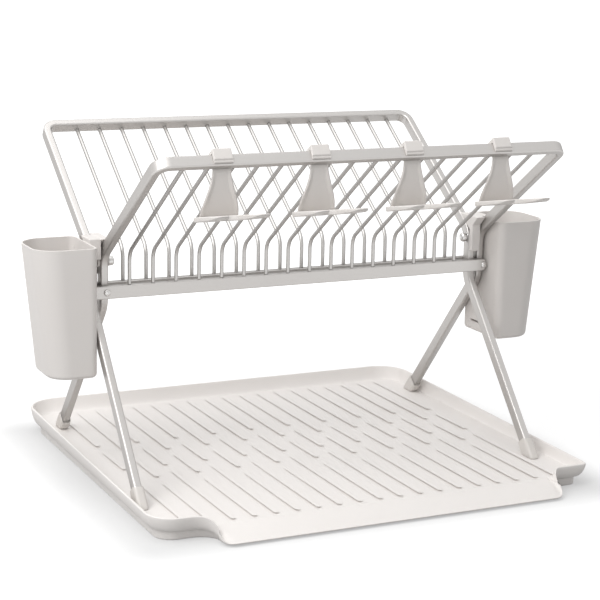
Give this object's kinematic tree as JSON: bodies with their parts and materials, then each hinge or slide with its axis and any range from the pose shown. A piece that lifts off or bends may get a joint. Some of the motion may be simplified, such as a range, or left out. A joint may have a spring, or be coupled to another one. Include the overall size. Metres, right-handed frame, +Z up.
{
  "type": "dish rack",
  "caption": "Foldable dish rack: crossed wing frames with plate wires on a drip tray with a spout, with glass holders on the front wing and cutlery baskets at the sides.",
  "frame": {"origin": "on the worktop under the middle of the whole outline", "axes": "+X along the crossbars to the right seen from the spout's side, +Y away from the spout, +Z up"},
  "size_m": [0.5824, 0.453, 0.355],
  "materials": {
    "satin_metal": "satin",
    "bright_metal": "satin",
    "painted_wire": "satin",
    "tray_plastic": "matt",
    "cup_plastic": "matt",
    "cap_plastic": "matt"
  },
  "bodies": {
    "tray": {"drip_tray": "tray_plastic"},
    "rack": {"right_pivot_bolt": "bright_metal", "right_pivot_cap_nut": "bright_metal", "right_pivot_washer": "bright_metal", "right_pivot_spacer": "cap_plastic", "left_pivot_bolt": "bright_metal", "left_pivot_cap_nut": "bright_metal", "left_pivot_washer": "bright_metal", "left_pivot_spacer": "cap_plastic"},
    "front_wing": {"front_wing_frame": "satin_metal", "front_bar": "satin_metal", "front_wire_01": "painted_wire", "front_wire_02": "painted_wire", "front_wire_03": "painted_wire", "front_wire_04": "painted_wire", "front_wire_05": "painted_wire", "front_wire_06": "painted_wire", "front_wire_07": "painted_wire", "front_wire_08": "painted_wire", "front_wire_09": "painted_wire", "front_wire_10": "painted_wire", "front_wire_11": "painted_wire", "front_wire_12": "painted_wire", "front_wire_13": "painted_wire", "front_wire_14": "painted_wire", "front_wire_15": "painted_wire", "front_wire_16": "painted_wire", "front_bar_screw_inner": "bright_metal", "front_frame_foot_cap_inner": "cap_plastic", "front_bar_screw_outer": "bright_metal", "front_frame_foot_cap_outer": "cap_plastic"},
    "rear_wing": {"rear_wing_frame": "satin_metal", "rear_bar": "satin_metal", "rear_wire_01": "painted_wire", "rear_wire_02": "painted_wire", "rear_wire_03": "painted_wire", "rear_wire_04": "painted_wire", "rear_wire_05": "painted_wire", "rear_wire_06": "painted_wire", "rear_wire_07": "painted_wire", "rear_wire_08": "painted_wire", "rear_wire_09": "painted_wire", "rear_wire_10": "painted_wire", "rear_wire_11": "painted_wire", "rear_wire_12": "painted_wire", "rear_wire_13": "painted_wire", "rear_wire_14": "painted_wire", "rear_wire_15": "painted_wire", "rear_wire_16": "painted_wire", "rear_bar_screw_inner": "bright_metal", "rear_frame_foot_cap_inner": "cap_plastic", "rear_bar_screw_outer": "bright_metal", "rear_frame_foot_cap_outer": "cap_plastic"},
    "right_basket": {"right_cutlery_basket": "cup_plastic"},
    "left_basket": {"left_cutlery_basket": "cup_plastic"},
    "holder_1": {"glass_holder_1": "cup_plastic"},
    "holder_2": {"glass_holder_2": "cup_plastic"},
    "holder_3": {"glass_holder_3": "cup_plastic"},
    "holder_4": {"glass_holder_4": "cup_plastic"}
  },
  "joints": [
    {"name": "fold", "type": "hinge", "parent": "rack", "child": "front_wing", "pos_m": [0, 0.0175, 0.22519], "axis": [-1, 0, 0], "range_deg": [0, 34]},
    {"name": "rack_lift", "type": "slide", "parent": "tray", "child": "rack", "axis": [0, 0, 1], "range_m": [0, 0.0892]},
    {"name": "rear_wing_fold", "type": "hinge", "parent": "rack", "child": "rear_wing", "pos_m": [0, 0.0175, 0.22519], "axis": [1, 0, 0], "range_deg": [0, 34]},
    {"name": "right_basket_lift", "type": "slide", "parent": "rack", "child": "right_basket", "axis": [0, 0, 1], "range_m": [0, 0.1723]},
    {"name": "left_basket_lift", "type": "slide", "parent": "rack", "child": "left_basket", "axis": [0, 0, 1], "range_m": [0, 0.1723]},
    {"name": "holder_1_lift", "type": "slide", "parent": "front_wing", "child": "holder_1", "axis": [0, 0.5793, 0.8151], "range_m": [0, 0.011]},
    {"name": "holder_2_lift", "type": "slide", "parent": "front_wing", "child": "holder_2", "axis": [0, 0.5793, 0.8151], "range_m": [0, 0.011]},
    {"name": "holder_3_lift", "type": "slide", "parent": "front_wing", "child": "holder_3", "axis": [0, 0.5793, 0.8151], "range_m": [0, 0.011]},
    {"name": "holder_4_lift", "type": "slide", "parent": "front_wing", "child": "holder_4", "axis": [0, 0.5793, 0.8151], "range_m": [0, 0.011]}
  ],
  "couplings": [
    {"joint": "rack_lift", "follows": "fold", "m_per_rad": 0.15},
    {"joint": "rear_wing_fold", "follows": "fold", "ratio": 1},
    {"joint": "right_basket_lift", "follows": "fold", "m_per_rad": 0.29},
    {"joint": "left_basket_lift", "follows": "fold", "m_per_rad": 0.29}
  ]
}
